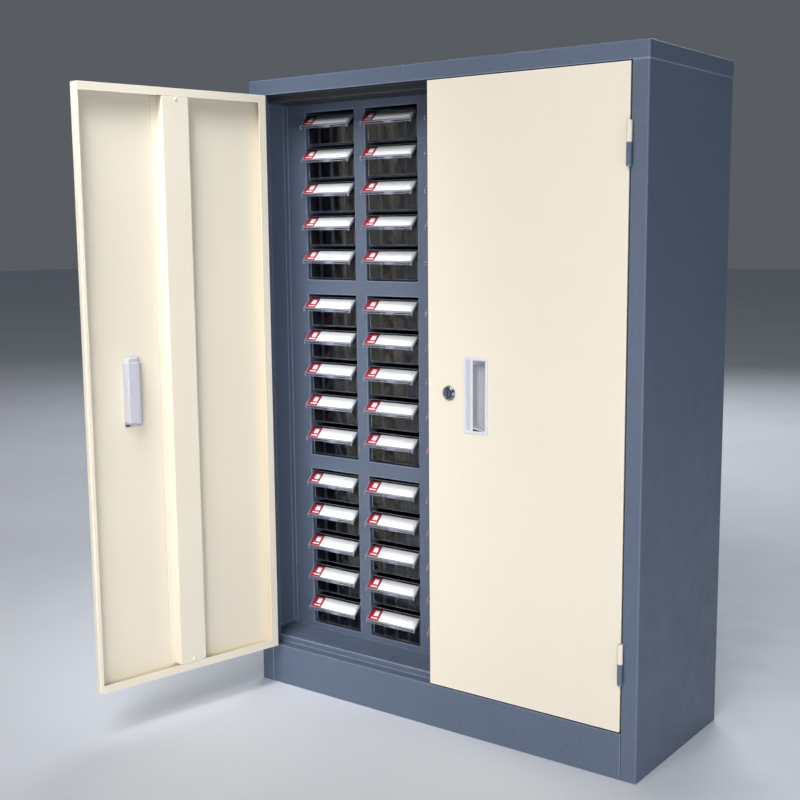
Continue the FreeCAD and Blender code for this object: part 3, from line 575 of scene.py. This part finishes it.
def lip_mesh(shape):
    """The sloping label lip: a clear bed, front beads with a tab, end plates and card rails; beads, tab and
    end plates are paler as painted highlight.
    """
    inner = TRAY["half"] - LIP["end"]
    front = -LIP_REACH
    rim = front + 1.3
    thick = LIP["thick"]
    shape.paint = 0
    shape.prism([(0.2, lip_top(0) - LIP["recess"]), (rim + 0.1, lip_top(rim) - LIP["recess"]),
                 (rim + 0.1, lip_top(rim) - thick), (0.2, lip_top(0) - thick)],
                -inner - 0.1, inner + 0.1, along_x)
    # Painted highlight: the front beads, tab and end plates take the paler edge plastic.
    shape.paint = 2
    bead = lip_top(front)
    shape.prism([(rim, lip_top(rim) - 0.05), (front + 0.5, bead + 0.4), (front, bead - 0.2),
                 (front, bead - 1.9), (rim, bead - 1.9)], -inner - 0.1, inner + 0.1, along_x)
    shape.prism([(front, bead - 3.6), (rim + 0.4, bead - 3.4), (rim + 0.4, bead - 4.6),
                 (front + 0.3, bead - 4.7), (front, bead - 4.4)], -inner - 0.1, inner + 0.1, along_x)
    shape.prism([(front, bead - 1.8), (rim, bead - 1.8), (rim, bead - 3.7), (front, bead - 3.7)],
                *LIP_TAB, along_x)
    shape.prism([(front, bead - 4.1), (front + 1.1, bead - 4.1), (front + 1.0, bead - 5.3),
                 (front + 0.2, bead - 5.3)], *LIP_TAB, along_x)
    deep = thick + LIP["foot"]
    plate = [(0.2, lip_top(0)), (front + 0.4, lip_top(front) + 0.35), (front, lip_top(front) - 0.1),
             (front, bead - deep + 0.4), (front + 0.4, bead - deep), (front + 2.2, bead - deep),
             (front + 3.2, lip_top(front + 3.2) - deep + 1.2), (0.2, lip_top(0) - deep + 1.2)]
    for side in (-1, 1):
        near, far = sorted((side * inner, side * TRAY["half"]))
        shape.prism(plate, near, far, along_x)
    shape.paint = 0
    rail = inner - 3.0
    for side in (-1, 1):
        near, far = sorted((side * rail, side * (rail + 0.7)))
        shape.prism([(-2.4, lip_top(-2.4) - 0.3), (rim, lip_top(rim) - 0.3),
                     (rim, lip_top(rim) + 0.05), (-2.4, lip_top(-2.4) + 0.05)], near, far, along_x)


def card_mesh():
    """A printed label: a red end panel with a plain white square and bar, and a blank white field."""
    shape = Shape()
    half = TRAY["half"] - LIP["end"] - 0.25
    split = -TRAY["half"] + 24.6
    near, far = -2.4, -LIP_REACH + 1.45
    lift, thick, ink = 0.03, 0.5, 0.1

    def sheet(x0, x1, y0, y1, foot, deep):
        """One panel of the card, a little bowed across its width."""
        columns = 9
        rings = []
        for i in range(columns):
            x = x0 + (x1 - x0) * i / (columns - 1)
            bow = 0.12 * (1 - (x / half) ** 2)
            rings.append([(x, y, lip_top(y) - LIP["recess"] + bow * 0.5 + z)
                          for y, z in ((y0, foot), (y1, foot), (y1, foot + deep), (y0, foot + deep))])
        shape.loft(rings)

    sheet(-half, half, far, near, lift, thick)
    top = lift + thick - 0.04
    shape.paint = 1
    sheet(-half, split, far, near, top, ink)
    shape.paint = 0
    top += 0.07
    sheet(-38.8, -29.8, far + 5.6, near - 2.2, top, 0.08)
    sheet(-42.0, -28.5, far + 1.9, far + 3.5, top, 0.08)
    return shape.data("card", [PAPER, RED])


TRAY_MESH = tray_mesh()
CARD_MESH = card_mesh()


def drawers():
    for name in drawer_names:
        low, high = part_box(name)
        home = at((low.x + high.x) / 2, tray_front, low.z)
        add(f"{name}_tray", TRAY_MESH, name, home, (name,), roll=None)
        add(f"{name}_label", CARD_MESH, name, home, roll=None)
    for column in (3, 4, 5):
        for part, mesh in (("trays", TRAY_MESH), ("labels", CARD_MESH)):
            stack = bmesh.new()
            for z in row_homes:
                copy = mesh.copy()
                copy.transform(Matrix.Translation((column_homes[column - 1], tray_front, z)))
                stack.from_mesh(copy)
                bpy.data.meshes.remove(copy)
            joined = bpy.data.meshes.new(f"column_{column}_{part}")
            stack.to_mesh(joined)
            stack.free()
            for material in mesh.materials:
                joined.materials.append(material)
            if part == "trays":
                add(f"column_{column}_{part}", joined, "case", None,
                    (f"column_{column}_drawers",), roll=None)
            else:
                add(f"column_{column}_{part}", joined, "case", roll=None)


drawers()

# ---------------------------------------------------------------- recessed pulls

PULL_SIZE = {"width": 41.0, "length": 112.0, "proud": 1.8, "cup_length": 106.0, "depth": 16.5,
             "wall": 2.0, "grip": 14.4, "side": 4.6, "end": 4.2, "round": 10.0}


def arc(cx, cy, radius, start, end, steps):
    """Points on an arc; start and end are angles in degrees."""
    angles = [math.radians(start + (end - start) * i / steps) for i in range(steps + 1)]
    return [(cx + radius * math.cos(angle), cy + radius * math.sin(angle)) for angle in angles]


def pull_bezel(shape, way):
    """The frame round the mouth, with a sunk reeded grip plate towards the door's free edge."""
    p = PULL_SIZE
    half = p["width"] / 2
    tall = p["length"] / 2
    proud = p["proud"]
    mouth_far = -half + p["side"]
    mouth_near = half - p["grip"]
    mouth_tall = tall - p["end"]
    grip_end = half - 3.4

    def loop(x0, x1, z0, z1, radius, y):
        return [(way * x, y, z) for x, z in rounded(x0, x1, z0, z1, radius)]

    shape.tube([
        loop(-half, half, -tall, tall, 2.5, 0.0),
        loop(-half, half, -tall, tall, 2.5, -proud + 0.7),
        loop(-half + 0.25, half - 0.25, -tall + 0.25, tall - 0.25, 2.4, -proud + 0.2),
        loop(-half + 0.9, half - 0.9, -tall + 0.9, tall - 0.9, 2.2, -proud),
        loop(mouth_far - 0.7, grip_end + 0.7, -mouth_tall - 0.7, mouth_tall + 0.7, 1.8, -proud),
        loop(mouth_far - 0.1, grip_end + 0.1, -mouth_tall - 0.1, mouth_tall + 0.1, 1.5, -proud + 0.5),
        loop(mouth_far, grip_end, -mouth_tall, mouth_tall, 1.5, 0.0),
    ])
    ridge = mouth_near + 2.8
    grip = [(grip_end + 0.2, -0.2), (grip_end + 0.2, -proud + 0.9)]
    reeds = 5
    step = (ridge - grip_end) / reeds
    for i in range(reeds):
        x = grip_end + step * (i + 0.5)
        grip += [(x - step * 0.5, -proud + 1.25), (x - step * 0.25, -proud + 0.85),
                 (x + step * 0.25, -proud + 0.85), (x + step * 0.5, -proud + 1.25)]
    grip += [(ridge, -0.2)]
    shape.paint = 1
    shape.prism([(way * x, y) for x, y in grip], -mouth_tall - 0.5, mouth_tall + 0.5, along_z)
    shape.paint = 0
    lip = [(ridge + 0.3, -0.2), (ridge + 0.3, -proud + 0.7), (ridge - 0.2, -proud + 0.15),
           (ridge - 0.9, -proud), (mouth_near, -proud), (mouth_near - 0.7, -proud + 0.3),
           (mouth_near - 1.0, -proud + 0.8), (mouth_near - 0.8, -proud + 1.4), (mouth_near, -proud + 1.6),
           (mouth_near, 0.2)]
    shape.prism([(way * x, y) for x, y in lip], -mouth_tall - 0.5, mouth_tall + 0.5, along_z)


def pull_cup(shape, way):
    """The cup behind the bezel: one rear corner is a wide curve, and both ends slope in. Its inner faces are
    darker, as painted shade in the recess.
    """
    p = PULL_SIZE
    wall = p["wall"]
    far = -p["width"] / 2 + p["side"] - wall
    near = p["width"] / 2 - p["grip"] + wall
    end = p["cup_length"] / 2
    big, small = p["round"], 2.0
    levels = [(-end, 10.5, 4.5), (-end + wall, 12.0, 2.5), (-end + 5.5, p["depth"], 0.0),
              (end - 8.5, p["depth"], 0.0), (end - 7.3, 12.5, 3.0), (end - wall, 11.5, 4.5), (end, 10.5, 5.0)]
    cut = 5.0

    def outer(depth, inset):
        corner = min(big, depth - 1.0)
        return ([(far, 0.0)] + arc(far + corner, depth - corner, corner, 180, 90, 10)
                + arc(near - inset - small, depth - small, small, 90, 0, 5) + [(near, 0.0)])

    def inner(depth, inset):
        corner = min(big, depth - 1.0) - wall
        deep = depth - wall
        soft = min(5.0, deep - 1.0)
        return ([(near - wall, 0.0)] + arc(near - inset - wall - soft, deep - soft, soft, 0, 90, 5)
                + arc(far + wall + corner, deep - corner, corner, 90, 180, 10) + [(far + wall, 0.0)])

    def ring(points, z):
        """One level. The bottom end is cut higher towards the free edge."""
        rise = cut * max(0.0, min(1.0, (-end + 9.0 - z) / 7.0))
        return [(way * x, y, z + rise * (x - far) / (near - far)) for x, y in points]

    shape.loft([ring(outer(depth, inset) + inner(depth, inset), z) for z, depth, inset in levels[1:-1]])
    for pair in (levels[:2], levels[-2:]):
        shape.loft([ring(outer(depth, inset), z) for z, depth, inset in pair])
    # Painted shade: the faces inside the cup get the darker well plastic.
    for face in shape.mesh.faces:
        spot = face.calc_center_median()
        inside = far + wall - 0.05 < way * spot.x < near - wall + 0.05 and abs(spot.z) < end - wall + 0.05
        if inside and 0.1 < spot.y < p["depth"] - wall + 0.05:
            face.material_index = 2


def pull_mesh(name, way):
    """A moulded pull. +x of the section is towards the free edge for way 1; y runs into the door."""
    shape = Shape()
    pull_bezel(shape, way)
    shape.paint = 4
    pull_cup(shape, way)
    p = PULL_SIZE
    near = p["width"] / 2 - p["grip"] + p["wall"]
    end = p["cup_length"] / 2
    # Painted shade: a dark block fills the notch under the cup's bottom end, where the hole lies in shade.
    shape.paint = 3
    low, high = sorted((way * (near - 6.0), way * (near - 0.8)))
    shape.box((low, 0.2, -end + 1.4), (high, 6.0, -end + 3.6))
    return shape.data(name, [PULL, GRIP, PULL_WELL_SHADE, KEYHOLE, CUP])


def swing(name):
    """How far a left-hand door stands open at rest, as a turn about +Z in radians."""
    return math.radians(next(j for j in frame["joints"] if j["name"] == name)["range_deg"][0])


PIN_HEAD = 3.2
pin_low, pin_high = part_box("hinge_pins")
LEFT_HINGE = Vector((pin_low.x + PIN_HEAD * MM, (pin_low.y + pin_high.y) / 2, 0.0))
LEFT_DOOR = Matrix.Translation(LEFT_HINGE) @ Matrix.Rotation(swing("left_door_hinge"), 4, "Z")
RIGHT_DOOR = Matrix.Translation((-LEFT_HINGE.x, LEFT_HINGE.y, 0.0))
SKIN_DEPTH = 4.0
LEFT_PULL_REACH = 252.4


def pulls():
    low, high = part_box("right_door_pull")
    centre = (low + high) / 2
    add("right_pull_moulding", pull_mesh("right_pull_moulding", -1), "right_door",
        at(centre.x, low.y + PULL_SIZE["proud"] * MM, centre.z), ("right_door_pull",), 0.25)
    low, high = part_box("left_door_pull")
    spot = LEFT_DOOR @ at(LEFT_PULL_REACH * MM, SKIN_DEPTH * MM, (low.z + high.z) / 2)
    add("left_pull_moulding", pull_mesh("left_pull_moulding", 1), "left_door", spot,
        ("left_door_pull",), 0.25)


pulls()

# ---------------------------------------------------------------- weld marks on the doors

DOOR_BACK_DEPTH = 22.0
STIFFENER_CENTRE = 165.5


def weld_marks(door, spot, way):
    """Domed spot welds near both ends of the stiffener's face."""
    low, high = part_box(f"{door}_stiffener")
    end_gap = 4.0
    dome = [(0.01, 1.7), (1.2, 1.5), (2.2, 0.9), (2.8, 0.2), (3.0, -0.3), (0.01, -0.3)]
    shape = Shape()
    for z in (low.z / MM + end_gap, high.z / MM - end_gap):
        def inward(a, b, t, z=z):
            return (way * (STIFFENER_CENTRE - 1.0 + a), DOOR_BACK_DEPTH + t, z + b)
        shape.spin(dome, inward, 20)
    add(f"{door}_weld_marks", shape.data(f"{door}_weld_marks", [CREAM]), door, spot, roll=None)


weld_marks("left_door", LEFT_DOOR, 1)
weld_marks("right_door", RIGHT_DOOR, -1)

# ---------------------------------------------------------------- lock


def outward(a, b, t):
    """Places a section round the lock axis; t is how far it stands out of the door."""
    return (a, -t, b)


def upward(a, b, t):
    """Places a section above the lock axis; b is how far it stands out of the door."""
    return (a, -b, t)


BEZEL = [(6.1, 3.0), (6.5, 3.55), (7.2, 3.9), (8.1, 3.95), (8.9, 3.6), (9.5, 2.9), (9.8, 2.1),
         (10.3, 1.75), (10.8, 1.5), (11.0, 1.1), (11.0, 0.02), (9.4, 0.02), (9.4, -1.6)]
BARREL = {"proud": 4.0, "bore": 6.1, "root": 9.0, "crest": 9.45, "end": -16.9, "threads": 14}


def lock():
    """The escutcheon with its threaded barrel, and the plug with its slotted face."""
    low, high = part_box("lock_barrel")
    home = at((low.x + high.x) / 2, low.y + BARREL["proud"] * MM, (low.z + high.z) / 2)
    ring = Shape()
    thread = []
    for i in range(BARREL["threads"]):
        t = -1.9 - i
        thread += [(BARREL["crest"], t), (BARREL["root"], t - 0.5)]
    tail = [(BARREL["root"], BARREL["end"]), (BARREL["bore"], BARREL["end"])]
    ring.band(BEZEL + thread + tail, outward)
    ring.paint = 1
    ring.prism([(-1.5, 3.0), (1.5, 3.0), (1.2, 4.0), (-1.2, 4.0)], 6.3, 9.2, upward)
    add("lock_escutcheon", ring.data("lock_escutcheon", [CHROME, KEYHOLE]), "right_door", home,
        ("lock_barrel",), None)
    face = flat_sheet([rounded(-5.9, 5.9, -5.9, 5.9, 5.899, 10),
                       rounded(-0.85, 0.85, -3.9, 3.4, 0.6, 3)], 1.2, 0.25)
    face.transform(Matrix.Rotation(math.pi / 2, 4, "X"))
    face.transform(Matrix.Translation((0, -3.75 * MM, 0)))
    face.materials.clear()
    face.materials.append(CHROME)
    add("lock_plug_face", face, "lock", home, roll=None)
    plug = Shape()
    plug.spin([(0.01, 2.6), (5.4, 2.6), (5.9, 2.3), (5.9, -18.6), (5.5, -19.0), (0.01, -19.0)], outward)
    # Painted shade: a dark disc just behind the slotted face stands in for the shade deep in the keyway.
    plug.paint = 1
    plug.spin([(0.01, 2.66), (4.6, 2.66), (4.6, 2.5), (0.01, 2.5)], outward)
    add("lock_plug_core", plug.data("lock_plug_core", [CHROME, KEYHOLE]), "lock", home,
        ("lock_plug",), None)


lock()

# ---------------------------------------------------------------- stage, light and camera


def floor_material():
    """A pale, faintly clouded studio floor."""
    n = Nodes("studio_floor")
    tone = n.mix(n.spread(n.noise(1.6, 4.0), 0.3, 0.7, 0.0, 1.0), rgb(222, 226, 234), rgb(215, 219, 228))
    return n.surface(Base_Color=tone, Roughness=n.spread(n.noise(14.0, 4.0), 0.3, 0.7, 0.55, 0.7))


def stage():
    mesh = bpy.data.meshes.new("studio_floor")
    grid = bmesh.new()
    bmesh.ops.create_grid(grid, x_segments=8, y_segments=8, size=20.0)
    grid.to_mesh(mesh)
    grid.free()
    mesh.materials.append(floor_material())
    ground = bpy.data.objects.new("studio_floor", mesh)
    scene.collection.objects.link(ground)
    world = bpy.data.worlds.new("studio")
    scene.world = world
    world.use_nodes = True
    sky = world.node_tree.nodes["Background"]
    sky.inputs["Color"].default_value = (0.76, 0.84, 0.95, 1.0)
    sky.inputs["Strength"].default_value = 0.13


def lamp(name, spot, aim, size, power, tint, spread=180):
    """A rectangular area lamp; places and sizes in metres, power in watts, spread in degrees."""
    light = bpy.data.lights.new(name, "AREA")
    light.shape = "RECTANGLE"
    light.size, light.size_y = size
    light.energy = power
    light.color = tint
    light.spread = math.radians(spread)
    thing = bpy.data.objects.new(name, light)
    scene.collection.objects.link(thing)
    thing.location = spot
    thing.rotation_euler = (Vector(aim) - Vector(spot)).to_track_quat("-Z", "Y").to_euler()


def camera():
    """Stands where the photographer stood: to the right, at about three quarters of the height."""
    azimuth, pitch, roll = math.radians(36.789), math.radians(8.127), math.radians(0.49)
    ahead = Vector((-math.sin(azimuth) * math.cos(pitch), math.cos(azimuth) * math.cos(pitch),
                    -math.sin(pitch)))
    right = Vector((math.cos(azimuth), math.sin(azimuth), 0.0))
    up = right.cross(ahead)
    turned_right = right * math.cos(roll) - up * math.sin(roll)
    turned_up = up * math.cos(roll) + right * math.sin(roll)
    matrix = Matrix((turned_right, turned_up, -ahead)).transposed().to_4x4()
    matrix.translation = (1.0402, -1.5947, 0.7624)
    data = bpy.data.cameras.new("camera")
    data.lens = 54.407
    data.sensor_width = 36.0
    data.shift_x = -0.0021
    data.shift_y = 0.00275
    thing = bpy.data.objects.new("camera", data)
    scene.collection.objects.link(thing)
    thing.matrix_world = matrix
    scene.camera = thing


stage()
lamp("key", (0.7, -3.9, 3.7), (0.0, -0.1, 0.5), (2.8, 2.0), 153.0, (1.0, 0.98, 0.96))
lamp("high", (-0.2, -0.75, 1.6), (-0.38, -0.15, 0.5), (0.4, 0.3), 0.85, (0.96, 0.98, 1.0), 45)
lamp("low", (0.34, -1.3, 0.35), (-0.5, -0.15, 0.3), (0.3, 0.4), 0.42, (1.0, 0.98, 0.95), 60)
lamp("side", (3.0, -1.2, 0.9), (0.1, -0.2, 0.4), (0.8, 0.8), 9.5, (0.86, 0.95, 1.0))
lamp("near", (0.95, -1.05, 0.25), (0.3, -0.14, 0.3), (0.3, 0.3), 3.7, (0.97, 0.98, 1.0))
lamp("sheen", (-0.7, -2.3, 0.65), (0.34, -0.14, 0.5), (0.35, 1.2), 3.2, (0.98, 0.98, 1.0))
lamp("back", (-1.4, 3.2, 2.6), (0.0, 0.0, 0.5), (2.4, 1.6), 70.0, (0.95, 0.97, 1.0))
scene.view_settings.view_transform = "Standard"
camera()
